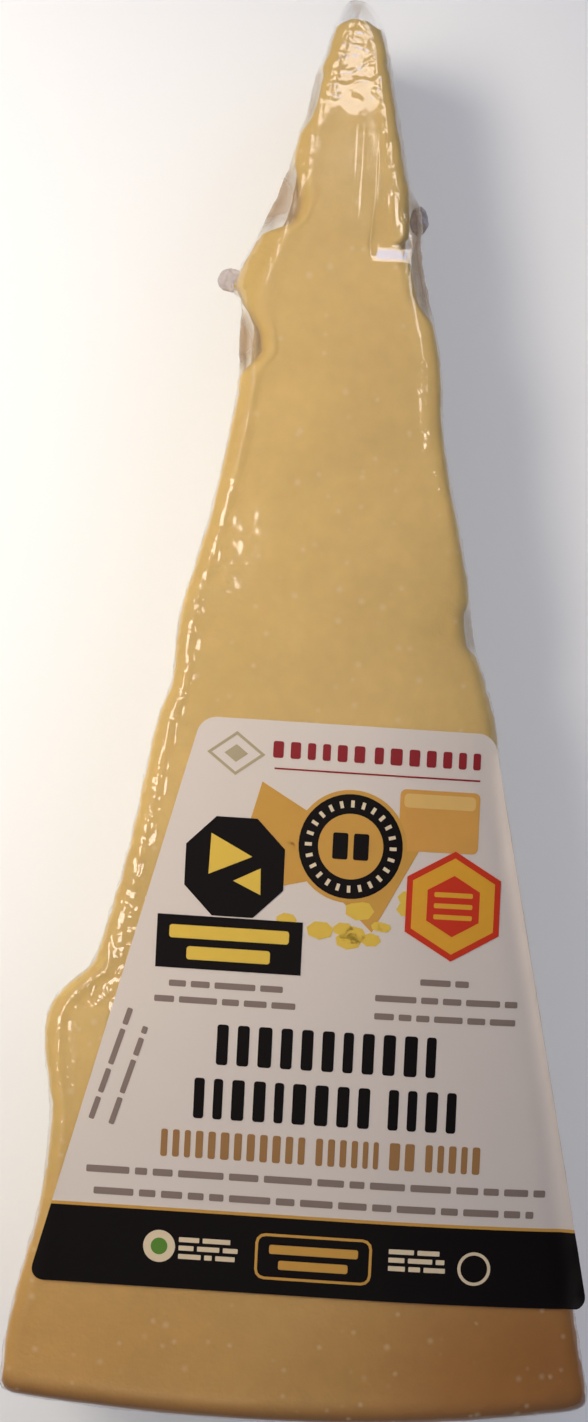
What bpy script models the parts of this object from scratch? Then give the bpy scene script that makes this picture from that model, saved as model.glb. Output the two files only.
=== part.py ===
"""A slim wedge of hard, grainy cheese, shrink-wrapped in clear film, with a paper label.

The wedge lies on one of its flat cut faces, so that its whole triangular face points up.
+Y runs from the rind to the thin tip, +X is to the right and +Z is up, and the origin is under
the middle of the wedge, on the surface it rests on.
"""

import math

import bmesh
import bpy
import numpy as np
from mathutils import Vector, noise

MM = 0.001

# Driving dimensions, in millimetres.
LENGTH = 206.4  # from the film over the thin tip to the middle of the rind
ORIGIN_FROM_TIP = 102.7  # the origin lies under the middle of the whole
THICKNESS = 36.0  # the slice's height as it lies
RIND_RADIUS = 320.0  # the rind's curve seen from above
RIND_CENTRE_X = -3.0  # where that curve reaches furthest from the tip
RIND_BARREL = 0.8  # how far the rind bulges at half height, as a wheel's side does
ROWS_BEND = 165.0  # distance from the tip past which the rows bend to the rind's curve
CORNER_ROUND = 1.7  # rounding of the two upright corners beside the rind
RIM_ROUND = 3.0  # rounding of the rim round the upper face
FOOT_ROUND = 1.6  # rounding of the edge it rests inside
WALL_LEAN = 1.0  # how far the walls draw in from rim to foot
FOOT_EVENNESS = 0.55  # how much straighter the flanks run at the foot than at the rim
EVEN_UP_TO = 27.0  # the height from which the flanks are as uneven as at the rim

# The flanks, as (distance from the tip, width from the centre line), tip to rind. Both are the
# straight cuts of one sixteenth of a wheel, uneven where the cheese split or has a lump.
LEFT_FLANK = (
    (0.0, 2.1), (1.5, 3.0), (4.5, 4.3), (9.0, 5.4), (12.0, 6.8), (16.0, 7.2), (20.5, 8.6),
    (26.5, 9.3), (33.0, 10.6), (39.0, 12.2), (44.0, 14.4), (48.0, 15.6), (55.5, 15.4),
    (61.0, 16.1), (68.0, 17.2), (79.0, 19.5), (90.0, 22.3), (94.0, 22.7), (99.0, 22.8),
    (104.5, 24.6), (113.0, 26.1), (124.0, 28.0), (134.5, 30.4), (141.5, 32.6), (144.0, 35.7),
    (147.0, 38.0), (150.5, 38.8), (156.0, 38.3), (163.0, 37.2), (172.0, 37.7), (195.0, 42.1),
    (206.4, 43.0),
)
RIGHT_FLANK = (
    (0.0, -0.1), (1.3, 1.4), (4.1, 3.1), (9.0, 4.5), (14.0, 5.5), (20.0, 6.8), (26.0, 8.0),
    (34.0, 9.8), (40.0, 10.9), (49.0, 13.2), (54.0, 14.1), (61.0, 14.6), (77.0, 18.1),
    (84.0, 19.6), (92.0, 20.7), (98.5, 23.1), (102.5, 24.4), (107.0, 25.2), (112.0, 25.6),
    (130.0, 29.2), (150.0, 33.4), (170.0, 37.1), (190.6, 40.8), (197.1, 42.2), (206.4, 43.9),
)

# Slack film that stands out from a flank in its upper part: the side (-1 is left), where it
# starts, stands out most and ends along the wedge, and how far it stands out.
SLACK_FILM = (
    (-1, 19.0, 41.0, 46.5, 5.2),
    (1, 27.0, 31.0, 34.5, 1.9),
)
SLACK_MIDDLE = 27.0  # height of the middle of the slack film
SLACK_HALF_HEIGHT = 11.0

# The upper face falls away towards the right flank, over the half nearer the rind.
FACE_FALL = 4.6
FALL_STARTS = 60.0  # distance from the tip where it begins, and where it is full
FALL_FULL = 125.0

WALL_RELIEF = 1.1  # how deep the broken cheese of the walls goes
FACE_RELIEF = 0.22  # how far the cut face wavers

# The label: its corners as (distance from the centre line, distance from the tip), and its make.
LABEL_TOP_LEFT = (-17.7, 105.0)
LABEL_TOP_RIGHT = (24.3, 106.7)
LABEL_BOTTOM_RIGHT = (42.0, 186.8)
LABEL_BOTTOM_LEFT = (-38.1, 187.5)
LABEL_CORNER = 2.2
LABEL_THICKNESS = 0.25
LABEL_GAP = 0.35  # between label and film
LABEL_DROOP = 0.15  # how sharply it bends down past the rim, per millimetre
LABEL_COLUMNS = 18
LABEL_ROWS = 16
LABEL_CROWDING = 1.6  # how much closer its columns lie at the rim that it bends over

# How finely the wedge is divided.
ROWS = 92
FACE_COLUMNS = 12
WALL_LEVELS = 6


def smooth_step(low, high, value):
    """0 below low, 1 above high, and an even curve between."""
    share = min(max((value - low) / (high - low), 0.0), 1.0)
    return share * share * (3.0 - 2.0 * share)


def curve_through(flank):
    """A flank's places, widths and slopes, with slopes that never swing a curve past its points."""
    places, widths = np.array(flank).T
    steps = np.diff(widths) / np.diff(places)
    before, after = steps[:-1], steps[1:]
    alike = before * after > 0.0
    inner = np.where(alike, 2.0 * before * after, 0.0) / np.where(alike, before + after, 1.0)
    return places, widths, np.concatenate([steps[:1], inner, steps[-1:]])


FLANK_CURVES = {-1: curve_through(LEFT_FLANK), 1: curve_through(RIGHT_FLANK)}


def width_along(side, distance):
    """A flank's width at a distance from the tip, on a smooth curve through its points."""
    places, widths, slopes = FLANK_CURVES[side]
    last = len(places) - 2
    index = min(max(int(np.searchsorted(places, distance)) - 1, 0), last)
    span = places[index + 1] - places[index]
    share = (distance - places[index]) / span
    curve = (
        (1 + 2 * share) * (1 - share) ** 2 * widths[index]
        + share * (1 - share) ** 2 * span * slopes[index]
        + share**2 * (3 - 2 * share) * widths[index + 1]
        + share**2 * (share - 1) * span * slopes[index + 1]
    )
    return float(curve)


def flank_width(side, distance, height=THICKNESS):
    """A flank's width at a height: its lumps and hollows fade towards the foot."""
    width = width_along(side, distance)
    widths = FLANK_CURVES[side][1]
    straight = widths[0] + (widths[-1] - widths[0]) * distance / LENGTH
    return width + (straight - width) * FOOT_EVENNESS * (1.0 - smooth_step(0.0, EVEN_UP_TO, height))


def slack_film(side, distance, height):
    """How far loose film stands out from a flank at this place."""
    total = 0.0
    for film_side, starts, peak, ends, reach in SLACK_FILM:
        if film_side != side or not starts < distance < ends:
            continue
        if distance < peak:
            along = smooth_step(starts, peak, distance)
        else:
            along = 1.0 - smooth_step(peak, ends, distance)
        off_middle = abs(height - SLACK_MIDDLE) / SLACK_HALF_HEIGHT
        total += reach * along * (1.0 - smooth_step(0.2, 1.0, off_middle))
    return total


def row_distance(across, row):
    """Distance from the tip of a row at this width: rows are straight, and bend to the rind."""
    if row < ROWS_BEND:
        return row
    rind = LENGTH - (across - RIND_CENTRE_X) ** 2 / (2 * RIND_RADIUS)
    return ROWS_BEND + (row - ROWS_BEND) * (rind - ROWS_BEND) / (LENGTH - ROWS_BEND)


def row_end(side, row, height):
    """Where a row meets a flank, measured from the centre line, with the corner by the rind."""
    width = flank_width(side, row, height)
    for _ in range(3):
        width = flank_width(side, row_distance(side * width, row), height)
    past = max(CORNER_ROUND - (LENGTH - row), 0.0)
    return width - CORNER_ROUND + math.sqrt(CORNER_ROUND**2 - past**2)


def face_fall(across, distance):
    """How much lower the upper face lies here than at the wedge's full thickness."""
    width = flank_width(1, distance)
    start = 0.12 * width
    share = min(max((across - start) / (width - start), 0.0), 1.0)
    return FACE_FALL * share * share * smooth_step(FALL_STARTS, FALL_FULL, distance)


def face_waver(across, distance):
    """The slight unevenness of the cut face."""
    place = Vector((across / 26.0, distance / 24.0, 3.7))
    return FACE_RELIEF * noise.noise(place)


def rounding_drop(inset):
    """How far a quarter-round rim lies below the face, at a distance in from the wall."""
    if inset >= RIM_ROUND:
        return 0.0
    return RIM_ROUND - math.sqrt(max(RIM_ROUND**2 - (RIM_ROUND - inset) ** 2, 0.0))


def face_height(across, distance, inset):
    """Height of the upper face."""
    level = THICKNESS - face_fall(across, distance) + face_waver(across, distance)
    return level - rounding_drop(inset)


def quarter_round(radius):
    """Points on a quarter round as (inset from the wall, drop below the face), wall to face."""
    turns = [math.radians(22.5 * step) for step in range(5)]
    return [(radius * (1.0 - math.cos(turn)), radius * (1.0 - math.sin(turn))) for turn in turns]


def row_places():
    """Distances from the tip of the wedge's rows, closer together at its ends."""
    tip = [0.0, 0.4, 1.1, 2.1, 3.4]
    rind = [LENGTH - inset for inset in (4.4, 3.0, 1.85, 0.88, 0.3, 0.0)]
    middle = np.linspace(tip[-1], rind[0], ROWS - len(tip) - len(rind) + 2)
    return tip[:-1] + [float(place) for place in middle] + rind[1:]


def column_share(column, columns, width):
    """Where a column crosses the face, as a share of its width from the left flank."""
    if width < 4.5 * RIM_ROUND:
        return column / columns
    first = quarter_round(RIM_ROUND)[2][0]
    rim = [(inset - first) / width for inset, _ in quarter_round(RIM_ROUND)[2:]]
    if column < 2:
        return rim[column]
    if column > columns - 2:
        return 1.0 - rim[columns - column]
    return rim[2] + (column - 2) / (columns - 4) * (1.0 - 2.0 * rim[2])


def wall_levels():
    """Height and inset of each level of the wall, foot to rim."""
    foot = [(0.0, FOOT_ROUND), (0.3 * FOOT_ROUND, 0.3 * FOOT_ROUND)]
    top = THICKNESS - RIM_ROUND
    middle = [(float(height), 0.0) for height in np.linspace(FOOT_ROUND, top, WALL_LEVELS)]
    rim = [(THICKNESS - drop, inset) for inset, drop in quarter_round(RIM_ROUND)[1:3]]
    return foot + middle + rim


def wall_relief(across, distance, height):
    """How far the broken cheese of a wall lies back here, nothing at its foot and rim."""
    place = Vector((across / 9.0, distance / 9.0, height / 8.0))
    rough = 0.5 - 0.5 * noise.noise(place) + 0.35 * abs(noise.noise(place * 2.3))
    calm = smooth_step(0.0, 5.0, height) * smooth_step(2.0, 9.0, THICKNESS - height)
    return WALL_RELIEF * rough * calm * smooth_step(2.0, 14.0, distance)


def rind_barrel(height):
    """How far the rind lies back from its fullest line at half height."""
    off_middle = 2.0 * height / THICKNESS - 1.0
    return RIND_BARREL * off_middle * off_middle


def divided_block(rows, columns, levels):
    """A cube cut into a grid, with each vertex's row, column and level."""
    block = bmesh.new()
    bmesh.ops.create_cube(block, size=2.0)
    for axis, parts in ((1, rows), (0, columns), (2, levels)):
        edges = [
            edge
            for edge in block.edges
            if abs(edge.verts[0].co[axis] - edge.verts[1].co[axis]) > 1.0
        ]
        bmesh.ops.subdivide_edges(block, edges=edges, cuts=parts - 1, use_grid_fill=True)
    places = {}
    for vertex in block.verts:
        share = (vertex.co + Vector((1.0, 1.0, 1.0))) / 2.0
        places[vertex] = (
            round((1.0 - share.y) * rows),
            round(share.x * columns),
            round(share.z * levels),
        )
    return block, places


def wedge_mesh():
    """The wrapped wedge as one closed solid, out to its film."""
    rows = row_places()
    levels = wall_levels()
    columns = FACE_COLUMNS + 4
    block, places = divided_block(len(rows) - 1, columns, len(levels) - 1)
    for vertex, (row, column, level) in places.items():
        place = rows[row]
        height, inset = levels[level]
        left = -row_end(-1, place, height) - slack_film(-1, place, height)
        right = row_end(1, place, height) + slack_film(1, place, height)
        pull = inset + WALL_LEAN * (1.0 - height / THICKNESS)
        if column in (0, columns):
            pull += wall_relief(left + column, place, height)
        pull = min(pull, 0.42 * (right - left))
        share = column_share(column, columns, right - left)
        across = left + pull + share * (right - left - 2.0 * pull)
        distance = row_distance(across, place)
        from_tip = inset * (1.0 - smooth_step(0.0, 8.0, place))
        from_rind = (inset + rind_barrel(height)) * smooth_step(LENGTH - 8.0, LENGTH, place)
        if level == len(levels) - 1:
            edges = (across - left, right - across, LENGTH + inset - place, place + inset)
            height = face_height(across, distance, max(min(edges), inset))
        else:
            height -= face_fall(across, distance) * height / THICKNESS
        place_y = ORIGIN_FROM_TIP - distance - from_tip + from_rind
        vertex.co = (across * MM, place_y * MM, height * MM)
    foot = [face for face in block.faces if all(places[vertex][2] == 0 for vertex in face.verts)]
    bmesh.ops.dissolve_faces(block, faces=foot)
    bmesh.ops.recalc_face_normals(block, faces=block.faces[:])
    return block


def label_line(share):
    """The line down the label at a share of its width, as two points (across, -distance)."""
    top = Vector(LABEL_TOP_LEFT).lerp(Vector(LABEL_TOP_RIGHT), share)
    bottom = Vector(LABEL_BOTTOM_LEFT).lerp(Vector(LABEL_BOTTOM_RIGHT), share)
    return Vector((top.x, -top.y, 0.0)), Vector((bottom.x, -bottom.y, 0.0))


def label_height(across, distance):
    """Height of the label's underside: it lies on the face and bends down past the rim."""
    from_rim = flank_width(1, distance) - across
    droop = LABEL_DROOP * max(RIM_ROUND - from_rim, 0.0) ** 2
    return face_height(across, distance, RIM_ROUND) + LABEL_GAP - droop


def cut_flat(shape, start, end):
    """Cuts a flat shape along the line through two points."""
    normal = (end - start).cross(Vector((0.0, 0.0, 1.0)))
    geometry = shape.verts[:] + shape.edges[:] + shape.faces[:]
    bmesh.ops.bisect_plane(shape, geom=geometry, plane_co=start, plane_no=normal)


def label_mesh():
    """The label as a sheet with rounded corners, laid over the upper face."""
    sheet = bmesh.new()
    bmesh.ops.create_grid(sheet, x_segments=1, y_segments=1, size=1.0)
    for vertex in sheet.verts:
        ends = label_line(0.5 + 0.5 * vertex.co.x)
        vertex.co = ends[0] if vertex.co.y > 0.0 else ends[1]
    bmesh.ops.bevel(
        sheet,
        geom=sheet.verts[:],
        affect="VERTICES",
        offset=LABEL_CORNER,
        segments=4,
        profile=0.5,
        material=-1,
    )
    for column in range(1, LABEL_COLUMNS):
        cut_flat(sheet, *label_line(1.0 - (1.0 - column / LABEL_COLUMNS) ** LABEL_CROWDING))
    left, right = label_line(0.0), label_line(1.0)
    for row in range(1, LABEL_ROWS):
        cut_flat(sheet, left[0].lerp(left[1], row / LABEL_ROWS), right[0].lerp(right[1], row / LABEL_ROWS))
    for vertex in sheet.verts:
        across, distance = vertex.co.x, -vertex.co.y
        place_y = ORIGIN_FROM_TIP - distance
        vertex.co = (across * MM, place_y * MM, label_height(across, distance) * MM)
    bmesh.ops.recalc_face_normals(sheet, faces=sheet.faces[:])
    if sum(face.normal.z for face in sheet.faces) < 0.0:
        bmesh.ops.reverse_faces(sheet, faces=sheet.faces[:])
    return sheet


def plain_material(name, colour, roughness):
    material = bpy.data.materials.new(name)
    material.use_nodes = True
    shader = material.node_tree.nodes["Principled BSDF"]
    shader.inputs["Base Color"].default_value = (*colour, 1.0)
    shader.inputs["Roughness"].default_value = roughness
    shader.inputs["Metallic"].default_value = 0.0
    return material


def add_part(name, shape, material, collection):
    mesh = bpy.data.meshes.new(name)
    shape.to_mesh(mesh)
    shape.free()
    mesh.materials.append(material)
    part = bpy.data.objects.new(name, mesh)
    collection.objects.link(part)
    mesh.shade_smooth()
    mesh.set_sharp_from_angle(angle=math.radians(40.0))
    return part


def build():
    for leftover in list(bpy.data.objects):
        bpy.data.objects.remove(leftover, do_unlink=True)
    collection = bpy.data.collections.new("wrapped_cheese_wedge")
    bpy.context.scene.collection.children.link(collection)

    cheese = plain_material("wrapped hard cheese", (0.58, 0.37, 0.13), 0.35)
    paper = plain_material("coated label paper", (0.62, 0.55, 0.52), 0.55)

    add_part("wrapped_wedge", wedge_mesh(), cheese, collection)
    label = add_part("label", label_mesh(), paper, collection)
    wall = label.modifiers.new("paper thickness", "SOLIDIFY")
    wall.thickness = LABEL_THICKNESS * MM
    wall.offset = 1.0


build()
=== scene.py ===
"""Looks of a shrink-wrapped wedge of hard cheese with a paper label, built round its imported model.

Sizes are in millimetres and become metres as they are used. +Y runs from the rind to the thin
tip, +X is to the right and +Z is up. A place on the wedge is given as (across, along, up), where
along is the distance from the tip. A place on the label is given as (across, down), where down
is the distance from its top edge.
"""

import math
import random

import bmesh
import bpy
import numpy as np
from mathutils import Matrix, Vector, noise
from mathutils.bvhtree import BVHTree


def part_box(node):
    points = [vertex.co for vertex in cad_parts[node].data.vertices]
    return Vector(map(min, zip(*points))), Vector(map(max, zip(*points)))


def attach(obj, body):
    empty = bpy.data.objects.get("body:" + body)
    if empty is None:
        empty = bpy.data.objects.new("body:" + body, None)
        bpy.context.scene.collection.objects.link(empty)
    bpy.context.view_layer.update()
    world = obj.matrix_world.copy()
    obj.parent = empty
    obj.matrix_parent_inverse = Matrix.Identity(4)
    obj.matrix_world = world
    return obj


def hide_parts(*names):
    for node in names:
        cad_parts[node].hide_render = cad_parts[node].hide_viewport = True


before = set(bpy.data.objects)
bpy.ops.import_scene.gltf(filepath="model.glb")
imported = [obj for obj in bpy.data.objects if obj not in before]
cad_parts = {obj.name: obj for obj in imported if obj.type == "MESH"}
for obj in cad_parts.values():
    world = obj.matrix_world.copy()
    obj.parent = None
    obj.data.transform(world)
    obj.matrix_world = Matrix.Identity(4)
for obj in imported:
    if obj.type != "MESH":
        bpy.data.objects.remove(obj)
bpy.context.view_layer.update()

MM = 0.001
WEDGE_LOW, WEDGE_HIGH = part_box("wrapped_wedge")
LABEL_LOW, LABEL_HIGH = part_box("label")
TIP_Y = WEDGE_HIGH.y / MM
LENGTH = TIP_Y - WEDGE_LOW.y / MM
THICKNESS = WEDGE_HIGH.z / MM

# The wheel that the wedge is cut from.
WHEEL_RADIUS = 320.0
WHEEL_CENTRE = (-3.0, WEDGE_LOW.y / MM + WHEEL_RADIUS)
RIND_DEPTH = 4.5
GATHERED = 8.0  # the distance off the cheese that marks film gathered in many layers
HEAD_ON_MIRROR = 0.07  # share of light that both sides of the film mirror, seen square on

# Cheese and film.
CHEESE_FACE = 0.8  # size of the cheese's small faces, halved near the tip
FILM_FACE = 1.0  # size of the film's faces, halved and halved again where it is crinkled
FILM_GAP = 0.3  # from the solid's face to the cheese where it lies close
WALLS_STAND_OUT = 0.1  # how far the walls of film and cheese stand out from the solid's
CRISPER_RIM = 1.5  # how much smaller the rims' radius is than the solid's
CHEESE_STARTS = 2.8  # the film runs on this far past the tip of the cheese
TIP_CRINKLED_TO = 15.7
TIP_DROOP = 0.045  # how steeply the face falls away over the crinkled tip
FINE_CHEESE_TO = 60.0
CHIP_REACH = 9.0  # how far into the cheese a chip is felt
WALL_ROUGHNESS = 0.3
FACE_ROUGHNESS = 0.07

# Where the cheese lies back from the film's flank: the side (-1 is left), where that starts,
# where it is deepest from and to, where it ends, and how deep it goes.
CHIPS = (
    (-1, 8.5, 12.0, 17.0, 20.5, 0.8),
    (-1, 22.0, 32.0, 32.6, 35.0, 3.6),
    (-1, 43.5, 50.5, 51.3, 55.8, 2.9),
    (1, 6.0, 9.0, 26.0, 31.0, 0.35),
    (1, 27.0, 31.0, 43.0, 47.0, 1.6),
    (1, 34.2, 35.5, 35.8, 36.8, 1.0),
    (1, 86.0, 88.5, 92.5, 94.5, 0.9),
)

# Stretches of the two rims where cheese and film fall away and the film is puckered: side,
# start, fullest from and to, end, how far in from the flank they reach, how deep and how large
# the puckers are, and how far the rim falls.
PUCKERS = (
    (-1, 70.0, 78.0, 84.0, 92.0, 9.0, 0.11, 2.2, 0.40),
    (-1, 84.0, 92.0, 104.0, 112.0, 3.2, 0.15, 1.3, 0.0),
    (-1, 104.0, 116.0, 126.0, 132.0, 3.2, 0.18, 1.2, 0.0),
    (-1, 128.5, 132.5, 144.0, 149.0, 9.0, 0.21, 1.15, 0.0),
    (-1, 140.0, 142.0, 145.5, 148.5, 16.0, 0.20, 1.2, 0.0),
    (-1, 148.0, 150.0, 157.0, 161.0, 4.0, 0.12, 1.5, 0.0),
    (-1, 22.0, 27.0, 40.0, 44.0, 3.5, 0.09, 1.5, 0.0),
    (1, 80.0, 86.0, 96.0, 102.0, 5.0, 0.10, 1.2, 0.05),
    (1, 52.0, 58.0, 82.0, 88.0, 3.0, 0.09, 1.5, 0.0),
    (1, 96.0, 99.0, 105.0, 110.0, 3.0, 0.10, 1.2, 0.05),
    (1, 8.0, 14.0, 26.0, 36.0, 2.5, 0.06, 1.4, 0.0),
)

# The label: its corners as (across, along), and how its paper lies.
LABEL_TOP_LEFT = (-18.1, 104.6)
LABEL_TOP_RIGHT = (24.2, 105.2)
LABEL_BOTTOM_RIGHT = (41.9, 187.8)
LABEL_BOTTOM_LEFT = (-39.0, 186.6)
LABEL_HEIGHT = 82.0
LABEL_CORNER = 2.2
LABEL_SINK = 0.35  # the paper lies this much nearer the film than its solid does
PAPER_THICKNESS = 0.12
PAPER_FACE = (0.8, 1.6)
FIRST_LIFT = 0.05  # how far above the paper its print starts
INK_LIFT = 0.03  # each layer of print lies this much above the one below
INK_THICKNESS = 0.05
BAND_TOP = 71.0


def smooth_step(low, high, value):
    """0 below low, 1 above high, and an even curve between. With low above high it falls."""
    share = np.clip((np.asarray(value) - low) / (high - low), 0.0, 1.0)
    return share * share * (3.0 - 2.0 * share)


def paint(red, green, blue):
    """A colour from its screen values, 0 to 255, as the linear colour that shaders take."""
    levels = np.array([red, green, blue]) / 255.0
    linear = np.where(levels <= 0.04045, levels / 12.92, ((levels + 0.055) / 1.055) ** 2.4)
    return (*(float(level) for level in linear), 1.0)


# ---------------------------------------------------------------- shapes


def merged_copy(node):
    """A node's solid as one closed shape."""
    shape = bmesh.new()
    shape.from_mesh(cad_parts[node].data)
    bmesh.ops.remove_doubles(shape, verts=shape.verts[:], dist=1e-6)
    return shape


def tree_of(shape):
    return BVHTree.FromBMesh(shape)


def even_skin(shape, face_size, smoothing):
    """The same surface in small even faces."""
    mesh = bpy.data.meshes.new("skin")
    shape.to_mesh(mesh)
    helper = bpy.data.objects.new("skin", mesh)
    bpy.context.scene.collection.objects.link(helper)
    remesh = helper.modifiers.new("even faces", "REMESH")
    remesh.mode = "VOXEL"
    remesh.voxel_size = face_size * MM
    evaluated = helper.evaluated_get(bpy.context.evaluated_depsgraph_get())
    skin = bmesh.new()
    skin.from_mesh(evaluated.to_mesh())
    evaluated.to_mesh_clear()
    bpy.data.objects.remove(helper)
    bpy.data.meshes.remove(mesh)
    for _ in range(smoothing):
        bmesh.ops.smooth_vert(
            skin, verts=skin.verts[:], factor=0.5, use_axis_x=True, use_axis_y=True, use_axis_z=True
        )
    skin.normal_update()
    return skin


def halve_faces(skin, region):
    """Halves the faces in a region, which is a test on places and normals, and rounds them."""
    inside = region(*places_of(skin))
    chosen = [
        edge for edge, ends in ((edge, edge.verts) for edge in skin.edges)
        if inside[ends[0].index] and inside[ends[1].index]
    ]
    bmesh.ops.subdivide_edges(skin, edges=chosen, cuts=1, use_grid_fill=True)
    skin.normal_update()
    inside = region(*places_of(skin))
    fine = [vertex for vertex in skin.verts if inside[vertex.index]]
    bmesh.ops.smooth_vert(skin, verts=fine, factor=0.5, use_axis_x=True, use_axis_y=True, use_axis_z=True)
    skin.normal_update()


def add_piece(name, shape, material, sharp_edges=False):
    """Makes a finished piece that rides on the wedge's one body."""
    mesh = bpy.data.meshes.new(name)
    shape.to_mesh(mesh)
    shape.free()
    mesh.materials.append(material)
    mesh.shade_smooth()
    if sharp_edges:
        mesh.set_sharp_from_angle(angle=math.radians(35.0))
    piece = bpy.data.objects.new(name, mesh)
    bpy.context.scene.collection.objects.link(piece)
    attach(piece, "root")
    return piece


def places_of(shape):
    """Each vertex's place, as columns across, along and up, and its normal in the frame's axes."""
    shape.verts.index_update()
    points = np.array([vertex.co for vertex in shape.verts]) / MM
    points[:, 1] = TIP_Y - points[:, 1]
    normals = np.array([vertex.normal for vertex in shape.verts])
    return points, normals


def put_back(shape, places):
    """Moves each vertex to its place."""
    for vertex, (across, along, up) in zip(shape.verts, places):
        vertex.co = (across * MM, (TIP_Y - along) * MM, up * MM)


def pushed_in(places, normals, depth):
    """The places moved in along their normals."""
    steps = normals * np.asarray(depth)[:, None]
    steps[:, 1] *= -1.0
    return places - steps


def lumps(places, spacing, seed):
    """Smooth noise from about -1 to 1 at each place. Spacing may differ across, along and up."""
    scaled = places / np.broadcast_to(np.asarray(spacing, float), (3,)) + seed * 17.31
    return np.array([noise.noise(Vector(place)) for place in scaled])


def creases(places, spacing, width, seed):
    """1 along the winding lines where noise changes sign, falling to 0 a little way off."""
    return 1.0 - smooth_step(0.0, width, np.abs(lumps(places, spacing, seed)))


def stretch(starts, full_from, full_to, ends, value):
    """1 between full_from and full_to, fading to 0 at starts and ends."""
    return smooth_step(starts, full_from, value) * smooth_step(ends, full_to, value)


# ---------------------------------------------------------------- the wedge's flanks

STATIONS = np.arange(0.5, LENGTH - 0.5, 1.0)
LEVELS = np.arange(3.0, 28.0, 3.0)


def flank_table(tree, side):
    """How far out a flank stands at each station and level."""
    table = np.zeros((len(STATIONS), len(LEVELS)))
    reach = side * 0.2
    for row, along in enumerate(STATIONS):
        for column, level in enumerate(LEVELS):
            start = Vector((reach, (TIP_Y - along) * MM, level * MM))
            hit = tree.ray_cast(start, Vector((-side, 0.0, 0.0)))[0]
            table[row, column] = hit.x / MM if hit else 0.0
    return table


def read_flank(table, along, up):
    """A flank's place across at any distance along and height."""
    row = np.clip(along - STATIONS[0], 0.0, len(STATIONS) - 1.001)
    column = np.clip((up - LEVELS[0]) / (LEVELS[1] - LEVELS[0]), 0.0, len(LEVELS) - 1.001)
    low_row, low_column = row.astype(int), column.astype(int)
    past_row, past_column = row - low_row, column - low_column
    near = table[low_row, low_column] * (1 - past_column) + table[low_row, low_column + 1] * past_column
    far = (
        table[low_row + 1, low_column] * (1 - past_column)
        + table[low_row + 1, low_column + 1] * past_column
    )
    return near * (1 - past_row) + far * past_row


def middle_and_half(flanks, along, up):
    """The middle between the flanks and half the distance between them."""
    left, right = (read_flank(flanks[side], along, up) for side in (-1, 1))
    return (left + right) / 2, (right - left) / 2


def insets(flanks, places):
    """How far in from each flank every place lies."""
    across, along, up = places.T
    return {side: side * (read_flank(table, along, up) - across) for side, table in flanks.items()}


def rim_fall(places, inset_of):
    """How far cheese and film fall away at the tip and at the rims where the film is puckered."""
    along, up = places[:, 1], places[:, 2]
    fall = TIP_DROOP * np.clip(TIP_CRINKLED_TO - along + 2.0 * lumps(places, 3.5, 25), 0.0, None)
    for side, starts, full_from, full_to, ends, reach, _, _, deepest in PUCKERS:
        near = np.clip(1.0 - inset_of[side] / reach, 0.0, 1.0)
        fall += deepest * near * stretch(starts, full_from, full_to, ends, along)
    return fall * smooth_step(16.0, 31.0, up)


def ledge_step(places):
    """How far the face drops over the short ledge beside the first right-hand chip."""
    across, along, up = places.T
    over = stretch(2.6, 3.8, 7.4, 9.0, across)
    slope = np.clip((37.9 - along) / 1.75, 0.0, 1.0)
    return 0.36 * over * slope * smooth_step(27.0, 35.5, along) * (up > 30.0)


def standing_out(normals):
    """How far a skin stands out from its solid: its walls a little, and its upper rims most."""
    up = normals[:, 2]
    wall = smooth_step(0.7, 0.3, np.abs(up))
    rim = (up > 0.0) * (np.abs(up) + np.sqrt(np.clip(1.0 - up * up, 0.0, 1.0)) - 1.0)
    return WALLS_STAND_OUT * wall + CRISPER_RIM * rim


# ---------------------------------------------------------------- cheese


def chip_depth(side, along, up):
    """How far the cheese lies back from the film's flank."""
    depth = np.zeros_like(along)
    for chip_side, starts, full_from, full_to, ends, deepest in CHIPS:
        if chip_side == side:
            depth += deepest * stretch(starts, full_from, full_to, ends, along)
    return depth * smooth_step(18.0, 32.0, up)


def cheese_shape(wedge, flanks):
    """The cheese inside its film: smooth where it was cut flat, grainy where it was split."""
    skin = even_skin(wedge, CHEESE_FACE, smoothing=2)
    halve_faces(skin, lambda places, _: (places[:, 1] < FINE_CHEESE_TO) & (places[:, 2] > 18.0))
    places, normals = places_of(skin)
    inset_of = insets(flanks, places)
    across, along, up = places.T
    up = up - rim_fall(places, inset_of) - ledge_step(places)
    for side in flanks:
        felt = smooth_step(CHIP_REACH, 0.0, inset_of[side])
        across = across - side * chip_depth(side, along, up) * felt
    near_tip = 12.0
    moved = np.where(along < near_tip, CHEESE_STARTS + along * (1.0 - CHEESE_STARTS / near_tip), along)
    middle, half = middle_and_half(flanks, along, up)
    new_middle, new_half = middle_and_half(flanks, moved, up)
    across = new_middle + (across - middle) * np.clip(new_half / half, 1.0, 1.5)
    places = np.column_stack([across, moved, up])
    wall = smooth_step(0.75, 0.35, np.abs(normals[:, 2]))
    rind = smooth_step(0.5, 0.8, -normals[:, 1]) * smooth_step(LENGTH - 30.0, LENGTH - 10.0, along)
    broken = wall * (1.0 - rind) * smooth_step(1.0, 6.0, up)
    grain = 0.5 + 0.5 * lumps(places, 4.5, 1) + 0.45 * lumps(places, 1.9, 2)
    splits = creases(places, (9.0, 9.0, 6.0), 0.12, 3)
    depth = FILM_GAP - standing_out(normals) + broken * WALL_ROUGHNESS * (np.clip(grain, 0.0, 1.4) + 0.8 * splits)
    depth += (1.0 - broken) * FACE_ROUGHNESS * (1.0 + lumps(places, 7.0, 4) + 0.5 * lumps(places, 2.4, 5))
    put_back(skin, pushed_in(places, normals, depth))
    skin.normal_update()
    return skin


# ---------------------------------------------------------------- film


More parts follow.
